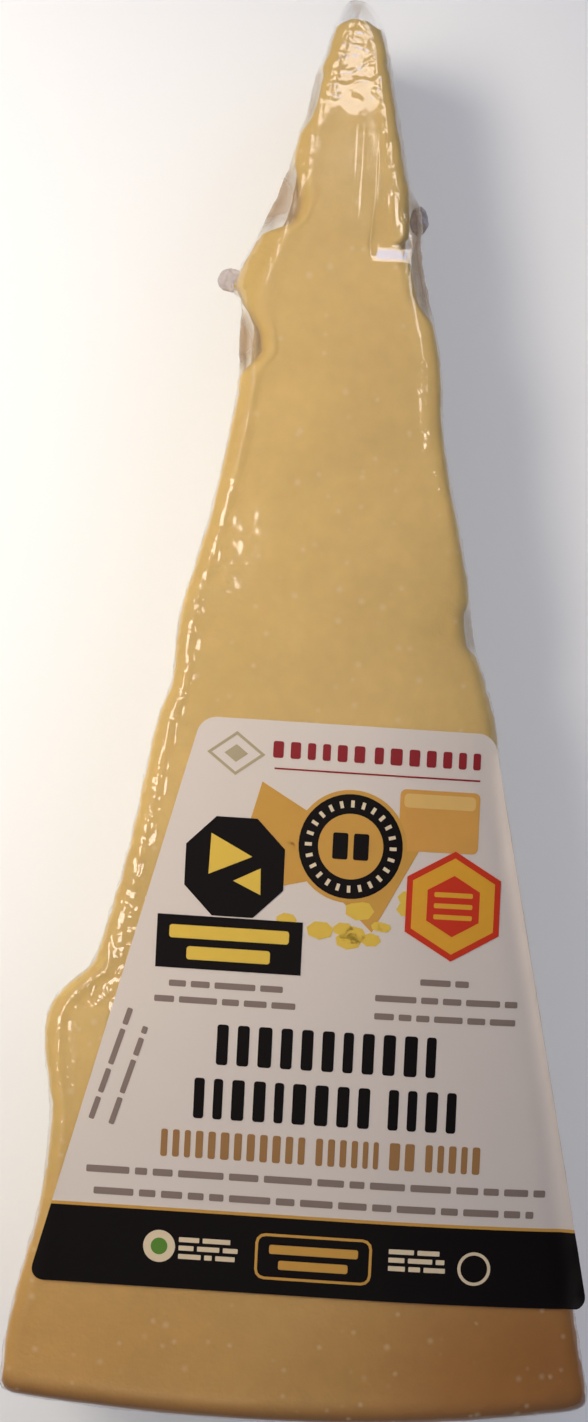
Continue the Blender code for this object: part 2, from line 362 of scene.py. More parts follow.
def pucker_depth(places, inset_of):
    """Small beads and dimples along the rims, where the film had to shrink most."""
    along = places[:, 1]
    depth = np.zeros(len(places))
    for side, starts, full_from, full_to, ends, reach, deepest, size, _ in PUCKERS:
        zone = smooth_step(reach, 0.55 * reach, inset_of[side]) * stretch(starts, full_from, full_to, ends, along)
        height = 0.5 + lumps(places, size, 11) + 0.35 * lumps(places, 0.55 * size, 13)
        depth += deepest * zone * np.clip(height, 0.0, 1.2)
    return depth


def rim_waver(places, inset_of):
    """The slight waver of the film along both rims."""
    near = smooth_step(3.5, 1.0, inset_of[-1]) + smooth_step(3.5, 1.0, inset_of[1])
    return 0.12 * near * (0.5 + 0.5 * lumps(places, (1.8, 1.7, 1.8), 12)) * smooth_step(20.0, 30.0, places[:, 2])


def tip_crinkles(places):
    """Gently tilted facets between narrow grooves, over the tip."""
    along = places[:, 1] + 1.6 * lumps(places, 3.0, 21)
    covered = smooth_step(TIP_CRINKLED_TO + 1.0, TIP_CRINKLED_TO - 2.0, along) * smooth_step(2.5, 5.0, along)
    grooves = np.maximum(creases(places, (2.6, 1.9, 2.6), 0.22, 22), 0.6 * creases(places, 1.4, 0.14, 23))
    return covered * (0.09 * grooves + 0.035 * lumps(places, 2.0, 24))


def lengthwise_pleats(places):
    """Long fine folds that run from the crinkled tip towards the first chip."""
    across, along, _ = places.T
    bend = across + 0.3 * lumps(places, (6.0, 14.0, 6.0), 31)
    ridges = 0.5 + 0.5 * np.cos(2.0 * math.pi * bend / 1.15)
    covered = stretch(15.0, 20.0, 29.0, 36.0, along) * stretch(-1.5, 0.5, 6.5, 8.5, across)
    shown = np.clip(0.5 + 1.2 * lumps(places, (1.3, 8.0, 5.0), 32), 0.0, 1.0)
    return 0.085 * ridges * covered * shown


def wall_wrinkles(places, normals):
    """Upright tension folds in the film on the walls, and its slack hollows."""
    wall = smooth_step(0.7, 0.3, np.abs(normals[:, 2])) * smooth_step(0.5, 4.0, places[:, 2])
    folds = creases(places, (3.5, 3.5, 16.0), 0.2, 41)
    return wall * (0.14 * folds + 0.08 * (0.5 + 0.5 * lumps(places, 6.0, 42)))


def film_shape(wedge, flanks):
    """The clear film, shrunk tight over the wedge, with the places where it puckers and folds."""
    skin = even_skin(wedge, FILM_FACE, smoothing=3)

    def near_tip(reach):
        return lambda places, normals: (places[:, 1] < reach) & (normals[:, 2] > 0.1)

    def on_puckered_rim(places, normals):
        inset_of = insets(flanks, places)
        chosen = np.zeros(len(places), bool)
        for side, starts, _, _, ends, reach, _, _, _ in PUCKERS:
            along = places[:, 1]
            chosen |= (inset_of[side] < reach + 0.5) & (along > starts) & (along < ends)
        return chosen & (normals[:, 2] > 0.2) & (places[:, 1] > 42.0)

    halve_faces(skin, near_tip(42.0))
    halve_faces(skin, near_tip(40.0))
    halve_faces(skin, on_puckered_rim)
    halve_faces(skin, on_puckered_rim)
    places, normals = places_of(skin)
    inset_of = insets(flanks, places)
    places[:, 2] -= rim_fall(places, inset_of) + ledge_step(places)
    depth = pucker_depth(places, inset_of) + rim_waver(places, inset_of) + tip_crinkles(places)
    depth += lengthwise_pleats(places) + wall_wrinkles(places, normals)
    depth += 0.03 * (0.5 + 0.5 * lumps(places, 8.0, 51))
    depth = np.minimum(depth, FILM_GAP - 0.04) - standing_out(normals)
    put_back(skin, pushed_in(places, normals, depth * smooth_step(0.0, 2.0, places[:, 2])))
    skin.normal_update()
    return skin


def note_gaps(film, cheese_tree):
    """Stores how far the film stands off the cheese, in millimetres, for its milky look, whose brownish tint is
    partly painted shade.

    The single layer pulled over the very tip stays clearer.
    """
    gaps = film.verts.layers.float.new("stands_off")
    for vertex in film.verts:
        clearer = 0.35 + 0.65 * smooth_step(3.0, 6.0, TIP_Y - vertex.co.y / MM)
        vertex[gaps] = clearer * cheese_tree.find_nearest(vertex.co)[3] / MM


def tab_shape(side, along, up, reach, breadth, wedge_tree, seed):
    """A trimmed corner of the welded seam: a small crumpled lobe that stands out of the flank."""
    lobe = bmesh.new()
    bmesh.ops.create_icosphere(lobe, subdivisions=4, radius=1.0)
    start = Vector((side * 0.2, (TIP_Y - along) * MM, up * MM))
    root = wedge_tree.ray_cast(start, Vector((-side, 0.0, 0.0)))[0].x / MM
    gaps = lobe.verts.layers.float.new("stands_off")
    for vertex in lobe.verts:
        out, beside, over = vertex.co
        crumple = noise.noise(Vector((out * 2.0, beside * 2.0, seed)))
        finer = noise.noise(Vector((out * 4.5, beside * 4.5, seed + 9.0)))
        place = (
            root + side * reach * (0.15 + 0.85 * out * (1.0 + 0.15 * crumple)),
            along + 0.5 * breadth * beside * (1.0 + 0.15 * finer),
            up + 0.35 * over + 0.9 * crumple + 0.35 * finer,
        )
        vertex.co = (place[0] * MM, (TIP_Y - place[1]) * MM, place[2] * MM)
        vertex[gaps] = GATHERED
    bmesh.ops.recalc_face_normals(lobe, faces=lobe.faces[:])
    return lobe


# ---------------------------------------------------------------- label and print


def label_place(across, down):
    """Distance along the wedge of a place on the label."""
    share = down / LABEL_HEIGHT
    left = Vector(LABEL_TOP_LEFT).lerp(Vector(LABEL_BOTTOM_LEFT), share)
    right = Vector(LABEL_TOP_RIGHT).lerp(Vector(LABEL_BOTTOM_RIGHT), share)
    return left.y + (right.y - left.y) * (across - left.x) / (right.x - left.x)


def cut_every(shape, steps):
    """Cuts a flat shape into strips across and down, so that it can be bent."""
    for axis, step in enumerate(steps):
        ends = [vertex.co[axis] for vertex in shape.verts]
        first, last = math.floor(min(ends) / step) + 1, math.ceil(max(ends) / step)
        normal = Vector((axis == 0, axis == 1, 0))
        for line in range(first, last):
            geometry = shape.verts[:] + shape.edges[:] + shape.faces[:]
            bmesh.ops.bisect_plane(shape, geom=geometry, plane_co=normal * line * step, plane_no=normal)


def face_up(shape):
    """Turns every face of a flat shape upwards."""
    down = [face for face in shape.faces if face.normal.z < 0.0]
    bmesh.ops.reverse_faces(shape, faces=down)


def height_at(surface, above):
    """A surface's height below a place, or beside it where the place is past the surface's edge."""
    hit = surface.ray_cast(above, Vector((0.0, 0.0, -1.0)))[0]
    if hit is None:
        hit = surface.find_nearest(Vector((above.x, above.y, LABEL_HIGH.z)))[0]
    return hit.z


def laid_on(shape, surface, lift, clear_of=None):
    """Lays a flat shape, drawn as (across, -down), on a surface seen from above."""
    for vertex in shape.verts:
        across, along = vertex.co.x, label_place(vertex.co.x, -vertex.co.y)
        above = Vector((across * MM, (TIP_Y - along) * MM, 1.0))
        height = height_at(surface, above) + lift * MM
        if clear_of:
            height = max(height, height_at(clear_of, above) + 0.25 * MM)
        vertex.co = (above.x, above.y, height)


def label_outline():
    """The label's flat outline with rounded corners."""
    sheet = bmesh.new()
    corners = [
        (LABEL_TOP_LEFT[0], 0.0),
        (LABEL_BOTTOM_LEFT[0], -LABEL_HEIGHT),
        (LABEL_BOTTOM_RIGHT[0], -LABEL_HEIGHT),
        (LABEL_TOP_RIGHT[0], 0.0),
    ]
    sheet.faces.new([sheet.verts.new((x, y, 0.0)) for x, y in corners])
    bmesh.ops.bevel(
        sheet, geom=sheet.verts[:], affect="VERTICES", offset=LABEL_CORNER, segments=6, profile=0.5, material=-1
    )
    sheet.normal_update()
    return sheet


def label_shape(solid_tree, film_tree):
    """The paper label, lying on the film."""
    sheet = label_outline()
    cut_every(sheet, PAPER_FACE)
    face_up(sheet)
    laid_on(sheet, solid_tree, -LABEL_SINK, clear_of=film_tree)
    edge = [vertex for vertex in sheet.verts if vertex.is_boundary]
    inner = [vertex for vertex in sheet.verts if not vertex.is_boundary]
    for _ in range(6):
        bmesh.ops.smooth_vert(sheet, verts=inner, factor=0.5, use_axis_z=True)
    for vertex in edge:
        beside = [link.other_vert(vertex) for link in vertex.link_edges]
        vertex.co.z = 0.5 * vertex.co.z + 0.5 * sum(other.co.z for other in beside) / len(beside)
    sheet.normal_update()
    return sheet


def bar(shape, left, right, top, bottom, corner=0.0, turn=0.0):
    """A bar between two distances across and two down, with rounded corners."""
    middle = Vector(((left + right) / 2, -(top + bottom) / 2, 0.0))
    half = ((right - left) / 2, (bottom - top) / 2)
    c, s = math.cos(turn), math.sin(turn)
    corners = []
    for x, y in ((-1, -1), (1, -1), (1, 1), (-1, 1)):
        dx, dy = x * half[0], y * half[1]
        corners.append(shape.verts.new(middle + Vector((c * dx - s * dy, s * dx + c * dy, 0.0))))
    shape.faces.new(corners)
    if corner > 0.0:
        bmesh.ops.bevel(
            shape, geom=corners, affect="VERTICES", offset=corner, segments=3, profile=0.5, material=-1
        )


def disc(shape, middle, radius, sides=40, turn=0.0, stretch_by=(1.0, 1.0)):
    """A disc or a polygon at (across, down)."""
    made = bmesh.ops.create_circle(shape, cap_ends=True, segments=sides, radius=radius)
    for vertex in made["verts"]:
        x, y = vertex.co.x, vertex.co.y
        c, s = math.cos(turn), math.sin(turn)
        vertex.co = (
            middle[0] + (c * x - s * y) * stretch_by[0],
            -middle[1] + (s * x + c * y) * stretch_by[1],
            0.0,
        )


def rim_only(shape, width, outline, *measures):
    """Draws an outline and keeps only its rim, that wide."""
    before = set(shape.faces)
    outline(shape, *measures)
    made = [face for face in shape.faces if face not in before]
    bmesh.ops.inset_individual(shape, faces=made, thickness=width, use_even_offset=True)
    bmesh.ops.delete(shape, geom=made, context="FACES")


def words(shape, draw, left, right, middle, height, longest, gap, corner=0.2):
    """A line of small print as bars, one to a word."""
    start = left
    while start < right - 1.0:
        end = min(start + draw.uniform(0.25, 1.0) * longest, right)
        bar(shape, start, end, middle - height / 2, middle + height / 2, corner)
        start = end + gap


def blocks(shape, draw, left, right, top, bottom, breadth, gap, corner):
    """A row of upright blocks of uneven breadth that fills a stretch of a line."""
    count = max(round((right - left + gap) / (breadth + gap)), 1)
    shares = [draw.uniform(0.8, 1.2) for _ in range(count)]
    scale = (right - left - gap * (count - 1)) / sum(shares)
    start = left
    for share in shares:
        bar(shape, start, start + share * scale, top, bottom, corner)
        start += share * scale + gap


def thickened(shape, thickness):
    """Gives an open sheet that faces up a thickness below it."""
    shape.normal_update()
    bmesh.ops.solidify(shape, geom=shape.faces[:], thickness=thickness * MM)
    bmesh.ops.recalc_face_normals(shape, faces=shape.faces[:])


def printed(name, shape, layer, ink, paper_tree):
    """Lays a flat drawing on the label as a thin coat of ink."""
    cut_every(shape, PAPER_FACE)
    shape.normal_update()
    face_up(shape)
    laid_on(shape, paper_tree, FIRST_LIFT + layer * INK_LIFT)
    thickened(shape, INK_THICKNESS)
    return add_piece(name, shape, ink, sharp_edges=True)


# ---------------------------------------------------------------- materials


def node(tree, kind, inputs=(), **settings):
    """Adds a shader node, with its settings and inputs, which are values or other nodes' outputs."""
    made = tree.nodes.new("ShaderNode" + kind)
    for name, value in settings.items():
        setattr(made, name, value)
    for name, value in dict(inputs).items():
        if isinstance(value, bpy.types.NodeSocket):
            tree.links.new(value, made.inputs[name])
        else:
            made.inputs[name].default_value = value
    return made


def math_node(tree, operation, first, second=0.0, clamp=False):
    return node(tree, "Math", {0: first, 1: second}, operation=operation, use_clamp=clamp).outputs[0]


def fade(tree, value, low, high, to_low=0.0, to_high=1.0):
    """Maps a value from one range to another, on a smooth curve."""
    made = node(
        tree,
        "MapRange",
        {"Value": value, "From Min": low, "From Max": high, "To Min": to_low, "To Max": to_high},
        interpolation_type="SMOOTHSTEP",
    )
    return made.outputs["Result"]


def mixed(tree, share, first, second, blend="MIX"):
    """Two colours mixed by a share."""
    made = node(tree, "Mix", {0: share, 6: first, 7: second}, data_type="RGBA", blend_type=blend)
    return made.outputs[2]


def new_group(name, inputs, outputs):
    """An empty node group with named number, colour or vector sockets."""
    group = bpy.data.node_groups.new(name, "ShaderNodeTree")
    for socket, (kind, value) in inputs.items():
        made = group.interface.new_socket(socket, in_out="INPUT", socket_type="NodeSocket" + kind)
        made.default_value = value
    for socket, kind in outputs.items():
        group.interface.new_socket(socket, in_out="OUTPUT", socket_type="NodeSocket" + kind)
    start, end = group.nodes.new("NodeGroupInput"), group.nodes.new("NodeGroupOutput")
    return group, start.outputs, end.inputs


def uneven_tone_group():
    """Tints a colour lighter and darker in soft patches of a given size."""
    group, start, end = new_group(
        "uneven tone",
        {
            "Colour": ("Color", (0.8, 0.8, 0.8, 1.0)),
            "Patch Size": ("Float", 0.01),
            "Amount": ("Float", 0.1),
        },
        {"Colour": "Color"},
    )
    place = node(group, "TexCoord").outputs["Object"]
    scale = math_node(group, "DIVIDE", 1.0, start["Patch Size"])
    patches = node(group, "TexNoise", {"Vector": place, "Scale": scale, "Detail": 3.0}).outputs["Fac"]
    swing = math_node(group, "MULTIPLY", math_node(group, "SUBTRACT", patches, 0.5), start["Amount"])
    tone = node(group, "HueSaturation", {"Value": math_node(group, "ADD", swing, 1.0), "Color": start["Colour"]})
    group.links.new(tone.outputs["Color"], end["Colour"])
    return group


def fine_relief_group():
    """Heights of fine lumps over broader ones, for bumps."""
    group, start, end = new_group(
        "fine relief",
        {"Fine Size": ("Float", 0.0005), "Broad Size": ("Float", 0.005), "Broad Share": ("Float", 0.5)},
        {"Height": "Float"},
    )
    place = node(group, "TexCoord").outputs["Object"]
    fine_scale = math_node(group, "DIVIDE", 1.0, start["Fine Size"])
    broad_scale = math_node(group, "DIVIDE", 1.0, start["Broad Size"])
    fine = node(group, "TexNoise", {"Vector": place, "Scale": fine_scale, "Detail": 2.0}).outputs["Fac"]
    broad = node(group, "TexNoise", {"Vector": place, "Scale": broad_scale, "Detail": 1.0}).outputs["Fac"]
    height = node(group, "Mix", {0: start["Broad Share"], 2: fine, 3: broad}, data_type="FLOAT").outputs[0]
    group.links.new(height, end["Height"])
    return group


def pale_specks_group():
    """Scattered soft specks: a mask of spots of a given size, of which only some show."""
    group, start, end = new_group(
        "pale specks",
        {"Cell Size": ("Float", 0.002), "Speck Share": ("Float", 0.25), "Shown": ("Float", 0.3)},
        {"Mask": "Float"},
    )
    place = node(group, "TexCoord").outputs["Object"]
    scale = math_node(group, "DIVIDE", 1.0, start["Cell Size"])
    cells = node(group, "TexVoronoi", {"Vector": place, "Scale": scale, "Randomness": 1.0})
    chance = node(group, "SeparateColor", {0: cells.outputs["Color"]}).outputs[0]
    shown = math_node(group, "LESS_THAN", chance, start["Shown"])
    near = node(
        group,
        "MapRange",
        {"Value": cells.outputs["Distance"], "From Min": start["Speck Share"], "From Max": 0.0},
        interpolation_type="SMOOTHSTEP",
    ).outputs["Result"]
    group.links.new(math_node(group, "MULTIPLY", near, shown), end["Mask"])
    return group


def placed(tree, group, **values):
    """Puts a node group into a material."""
    made = tree.nodes.new("ShaderNodeGroup")
    made.node_tree = group
    for name, value in values.items():
        socket = made.inputs[name.replace("_", " ").title()]
        if isinstance(value, bpy.types.NodeSocket):
            tree.links.new(value, socket)
        else:
            socket.default_value = value
    return made.outputs


def new_material(name):
    """A material with a Principled shader, as (material, tree, shader)."""
    material = bpy.data.materials.new(name)
    material.use_nodes = True
    tree = material.node_tree
    return material, tree, tree.nodes["Principled BSDF"]


def bump(tree, height, distance, strength=1.0):
    made = node(tree, "Bump", {"Height": height, "Distance": distance * MM, "Strength": strength})
    return made.outputs["Normal"]


uneven_tone = uneven_tone_group()
fine_relief = fine_relief_group()
pale_specks = pale_specks_group()


def depth_from_rind(tree):
    """How deep in the wheel a place lies, in millimetres in from the rind."""
    place = node(tree, "TexCoord").outputs["Object"]
    flat = node(tree, "VectorMath", {0: place, 1: (1.0, 1.0, 0.0)}, operation="MULTIPLY").outputs[0]
    centre = (WHEEL_CENTRE[0] * MM, WHEEL_CENTRE[1] * MM, 0.0)
    radius = node(tree, "VectorMath", {0: flat, 1: centre}, operation="DISTANCE").outputs["Value"]
    millimetres = math_node(tree, "DIVIDE", radius, MM)
    return math_node(tree, "SUBTRACT", WHEEL_RADIUS, millimetres)


def cheese_material():
    """Straw-coloured paste with pale crystals, browner towards the rind, and the ochre rind. The browning near
    the rind is partly the paste's own colour and partly painted shade that darkens it towards the right, and the
    walls under the upper face carry painted shade.
    """
    material, tree, shader = new_material("hard cheese paste")
    depth = depth_from_rind(tree)
    place = node(tree, "TexCoord").outputs["Object"]
    across, _, up = node(tree, "SeparateXYZ", {0: place}).outputs
    # Painted shade: near the rind the paste turns darker towards the right flank, where light falls off. The wide
    # brown band towards the rind is partly the paste's real colour there and partly painted shade.
    rind_brown_and_painted_shade = mixed(tree, fade(tree, across, -0.005, 0.034), paint(216, 174, 100), paint(184, 126, 54))
    paste = mixed(tree, fade(tree, depth, 48.0, 8.0), paint(227, 199, 129), rind_brown_and_painted_shade)
    paste = mixed(tree, fade(tree, depth, RIND_DEPTH, 0.6), paste, paint(158, 112, 62))
    paste = placed(tree, uneven_tone, colour=paste, patch_size=0.014, amount=0.26)["Colour"]
    paste = placed(tree, uneven_tone, colour=paste, patch_size=0.0022, amount=0.14)["Colour"]
    crystals = placed(tree, pale_specks, cell_size=0.0016, speck_share=0.38, shown=0.10)["Mask"]
    clusters = placed(tree, pale_specks, cell_size=0.0032, speck_share=0.25, shown=0.3)["Mask"]
    both = math_node(tree, "MAXIMUM", crystals, clusters)
    paste = mixed(tree, math_node(tree, "MULTIPLY", both, 0.46), paste, paint(238, 220, 178))
    # Painted shade: the paste on the walls is multiplied darker from a few millimetres under the upper face
    # downwards, as if shaded by the rim.
    painted_wall_shade = fade(tree, up, (THICKNESS - 2.5) * MM, (THICKNESS - 7.0) * MM)
    paste = mixed(tree, painted_wall_shade, paste, (0.74, 0.68, 0.58, 1.0), "MULTIPLY")
    tree.links.new(paste, shader.inputs["Base Color"])
    shader.inputs["Roughness"].default_value = 0.5
    shader.inputs["Specular IOR Level"].default_value = 0.3
    shader.inputs["Subsurface Weight"].default_value = 0.12
    shader.inputs["Subsurface Radius"].default_value = (1.0, 0.55, 0.2)
    shader.inputs["Subsurface Scale"].default_value = 0.0025
    height = placed(tree, fine_relief, fine_size=0.0007, broad_size=0.003, broad_share=0.4)["Height"]
    tree.links.new(bump(tree, height, 0.12), shader.inputs["Normal"])
    return material


def film_material():
    """Clear film: mirror-like where it catches light, milky where it stands off the cheese, with a brownish tint
    there that is partly painted shade.
    """
    material, tree, shader = new_material("clear shrink film")
    end = tree.nodes["Material Output"]
    height = placed(tree, fine_relief, fine_size=0.0012, broad_size=0.006, broad_share=0.6)["Height"]
    ripple = bump(tree, height, 0.02)
    clear = node(tree, "BsdfTransparent", {"Color": (1.0, 1.0, 1.0, 1.0)})
    gloss = node(tree, "BsdfAnisotropic", {"Color": (1.0, 1.0, 1.0, 1.0), "Roughness": 0.11, "Normal": ripple})
    slant = node(tree, "LayerWeight", {"Blend": 0.5, "Normal": ripple}).outputs["Facing"]
    mirrored = math_node(tree, "MULTIPLY_ADD", math_node(tree, "POWER", slant, 5.0), 1.0 - HEAD_ON_MIRROR)
    mirrored.node.inputs[2].default_value = HEAD_ON_MIRROR
    tight = node(tree, "MixShader", {0: mirrored, 1: clear.outputs[0], 2: gloss.outputs[0]})
    stands_off = node(tree, "Attribute", attribute_name="stands_off").outputs["Fac"]
    # Where the film stands off the cheese it turns milky and brownish. This is partly the slack film's own haze
    # and partly painted shade for the shaded cheese and floor seen through it.
    slack = fade(tree, stands_off, 0.5, 2.6, 0.0, 0.62)
    gathered = fade(tree, stands_off, 4.0, GATHERED, 0.0, 0.2)
    milky = math_node(tree, "ADD", slack, gathered)
    many_layers = fade(tree, stands_off, 4.0, GATHERED)
    colour = mixed(tree, many_layers, paint(188, 162, 130), paint(212, 208, 214))
    tree.links.new(colour, shader.inputs["Base Color"])
    shader.inputs["Roughness"].default_value = 0.3
    both = node(tree, "MixShader", {0: milky, 1: tight.outputs[0], 2: shader.outputs[0]})
    tree.links.new(both.outputs[0], end.inputs["Surface"])
    return material


def paper_material():
    """Coated white paper, faintly uneven where it follows the film."""
    material, tree, shader = new_material("coated label paper")
    colour = placed(tree, uneven_tone, colour=paint(228, 224, 222), patch_size=0.012, amount=0.05)["Colour"]
    tree.links.new(colour, shader.inputs["Base Color"])
    shader.inputs["Roughness"].default_value = 0.5
    height = placed(tree, fine_relief, fine_size=0.0008, broad_size=0.007, broad_share=0.7)["Height"]
    tree.links.new(bump(tree, height, 0.06), shader.inputs["Normal"])
    return material


def ink_material(name, colour, patch_size=0.004, amount=0.10):
    """A coat of printing ink on the paper."""
    material, tree, shader = new_material(name + " ink")
    tone = placed(tree, uneven_tone, colour=colour, patch_size=patch_size, amount=amount)["Colour"]
    tree.links.new(tone, shader.inputs["Base Color"])
    shader.inputs["Roughness"].default_value = 0.5
    shader.inputs["Specular IOR Level"].default_value = 0.1
    height = placed(tree, fine_relief, fine_size=0.0008, broad_size=0.007, broad_share=0.7)["Height"]
    tree.links.new(bump(tree, height, 0.06), shader.inputs["Normal"])
    return material


def floor_material():
    material, tree, shader = new_material("pale floor")
    colour = placed(tree, uneven_tone, colour=paint(226, 237, 250), patch_size=0.3, amount=0.01)["Colour"]
    tree.links.new(colour, shader.inputs["Base Color"])
    shader.inputs["Roughness"].default_value = 0.8
    shader.inputs["Emission Color"].default_value = (1.0, 0.98, 1.0, 1.0)
    shader.inputs["Emission Strength"].default_value = 0.2
    return material


# ---------------------------------------------------------------- the pieces

wedge = merged_copy("wrapped_wedge")
wedge_tree = tree_of(wedge)
flanks = {side: flank_table(wedge_tree, side) for side in (-1, 1)}

cheese_skin = cheese_shape(wedge, flanks)
cheese_tree = tree_of(cheese_skin)
film_skin = film_shape(wedge, flanks)
note_gaps(film_skin, cheese_tree)
film_tree = tree_of(film_skin)
clear_film = film_material()

cheese = add_piece("cheese", cheese_skin, cheese_material())
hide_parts("wrapped_wedge")
film = add_piece("film", film_skin, clear_film)
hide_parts("wrapped_wedge")
left_tab = tab_shape(-1, 40.8, 27.0, 2.3, 3.5, wedge_tree, 1.0)
right_tab = tab_shape(1, 30.8, 27.0, 1.6, 4.2, wedge_tree, 2.0)
add_piece("film_tab_left", left_tab, clear_film)
add_piece("film_tab_right", right_tab, clear_film)

solid_label = merged_copy("label")
label_skin = label_shape(tree_of(solid_label), film_tree)
paper_tree = tree_of(label_skin)
thickened(label_skin, PAPER_THICKNESS)
label = add_piece("label_paper", label_skin, paper_material(), sharp_edges=True)
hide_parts("label")

black = ink_material("black", paint(16, 11, 13))
gold = ink_material("gold", paint(214, 168, 84))
pale_gold = ink_material("pale gold", paint(186, 178, 150))
yellow = ink_material("yellow", paint(236, 178, 62))
bright_gold = ink_material("bright gold", paint(235, 205, 90))
red = ink_material("red", paint(214, 62, 40))
dark_red = ink_material("dark red", paint(150, 46, 54))
tan = ink_material("tan", paint(166, 128, 84))
grey = ink_material("grey", paint(142, 130, 126))
green = ink_material("green", paint(96, 150, 62))
amber = ink_material("amber", paint(224, 172, 92), patch_size=0.006, amount=0.25)
pale_amber = ink_material("pale amber", paint(236, 200, 126), patch_size=0.006, amount=0.2)
cream = ink_material("cream", paint(236, 224, 196))


def print_band():
    """The black band across the label's foot, with a thin gold line on its upper edge."""
    for name, top, bottom, layer, ink in (
        ("print_band", BAND_TOP, LABEL_HEIGHT + 1.0, 1, black),
        ("print_band_line", BAND_TOP - 0.45, BAND_TOP, 1, gold),
    ):
        shape = label_outline()
        for down, keep_below in ((top, True), (bottom, False)):
            geometry = shape.verts[:] + shape.edges[:] + shape.faces[:]
            bmesh.ops.bisect_plane(
                shape,
                geom=geometry,
                plane_co=(0.0, -down, 0.0),
                plane_no=(0.0, 1.0 if keep_below else -1.0, 0.0),
                clear_outer=True,
            )
        printed(name, shape, layer, ink, paper_tree)


def print_titles(draw):
    """Two rows of heavy black blocks, a row of tan ones, and the small print under them."""
    shape = bmesh.new()
    blocks(shape, draw, -13.6, 18.0, 43.9, 49.7, 1.75, 1.3, 0.4)
    blocks(shape, draw, -16.5, 8.8, 51.7, 57.5, 1.75, 1.3, 0.4)
    blocks(shape, draw, 11.5, 21.3, 51.7, 57.5, 1.75, 1.3, 0.4)
    printed("print_title", shape, 1, black, paper_tree)
    shape = bmesh.new()
    for left, right in ((-20.9, -0.2), (1.4, 10.4), (12.0, 15.6), (17.2, 25.1)):
        blocks(shape, draw, left, right, 59.3, 63.2, 1.0, 0.75, 0.3)
    printed("print_tan_row", shape, 1, tan, paper_tree)
    shape = bmesh.new()
    words(shape, draw, -31.4, 34.9, 65.6, 1.0, 7.0, 0.8)
    words(shape, draw, -30.2, 33.3, 68.7, 1.0, 7.0, 0.8)
    words(shape, draw, -20.9, -4.5, 38.4, 0.9, 6.0, 0.7)
    words(shape, draw, -22.9, -2.6, 40.7, 0.9, 6.0, 0.7)
    words(shape, draw, 15.2, 23.1, 36.1, 0.9, 6.0, 0.7)
    words(shape, draw, 8.8, 29.5, 38.7, 0.9, 6.0, 0.7)
    words(shape, draw, 8.8, 29.3, 41.3, 0.9, 6.0, 0.7)
    printed("print_small_lines", shape, 1, grey, paper_tree)


def print_side_lines(draw):
    """Two lines of small print that run up the label's left edge."""
    shape = bmesh.new()
    for foot, head in (((-31.1, 58.5), (-26.2, 42.4)), ((-28.2, 59.1), (-23.9, 44.9))):
        run = Vector(head) - Vector(foot)
        turn = math.atan2(-run.y, run.x)
        start = 0.0
        while start < run.length - 1.0:
            end = min(start + draw.uniform(2.0, 5.5), run.length)
            middle = Vector(foot) + run * ((start + end) / 2 / run.length)
            half = (end - start) / 2
            bar(shape, middle.x - half, middle.x + half, middle.y - 0.4, middle.y + 0.4, 0.2, turn)
            start = end + 0.7
    printed("print_side_lines", shape, 1, grey, paper_tree)


def print_heading(draw):
    """A pale lozenge and a row of dark red blocks over a thin rule."""
    shape = bmesh.new()
    rim_only(shape, 0.4, disc, (-12.9, 5.0), 4.2, 4, 0.0, (1.0, 0.75))
    disc(shape, (-12.9, 5.0), 1.7, 4, 0.0, (1.0, 0.75))
    printed("print_lozenge", shape, 1, pale_gold, paper_tree)
    shape = bmesh.new()
    for left, right in ((-7.6, 5.6), (7.0, 11.0), (12.0, 22.4)):
        blocks(shape, draw, left, right, 2.9, 5.3, 1.2, 1.0, 0.3)
    bar(shape, -7.3, 22.4, 6.7, 6.95)
    printed("print_red_row", shape, 1, dark_red, paper_tree)


def print_picture(draw):
    """Plain wedges and crumbs in golds."""
    shape = bmesh.new()
    disc(shape, (-4.0, 18.0), 11.5, 3, 0.35, (1.25, 0.85))
    disc(shape, (6.0, 20.5), 10.0, 3, 1.2, (1.2, 0.9))
    printed("print_gold_wedges", shape, 1, gold, paper_tree)
    shape = bmesh.new()
    bar(shape, 11.0, 22.6, 8.6, 17.4, 0.8)
    printed("print_amber_block", shape, 2, amber, paper_tree)
    shape = bmesh.new()
    bar(shape, 11.6, 22.0, 9.2, 11.2, 0.6)
    printed("print_amber_edge", shape, 3, pale_amber, paper_tree)
    shape = bmesh.new()
    for _ in range(16):
        middle = (draw.uniform(-16.0, 14.0), draw.uniform(24.0, 31.5))
        disc(shape, middle, draw.uniform(0.5, 1.8), 7, draw.uniform(0.0, 3.0), (1.2, 0.8))
    printed("print_crumbs", shape, 2, bright_gold, paper_tree)


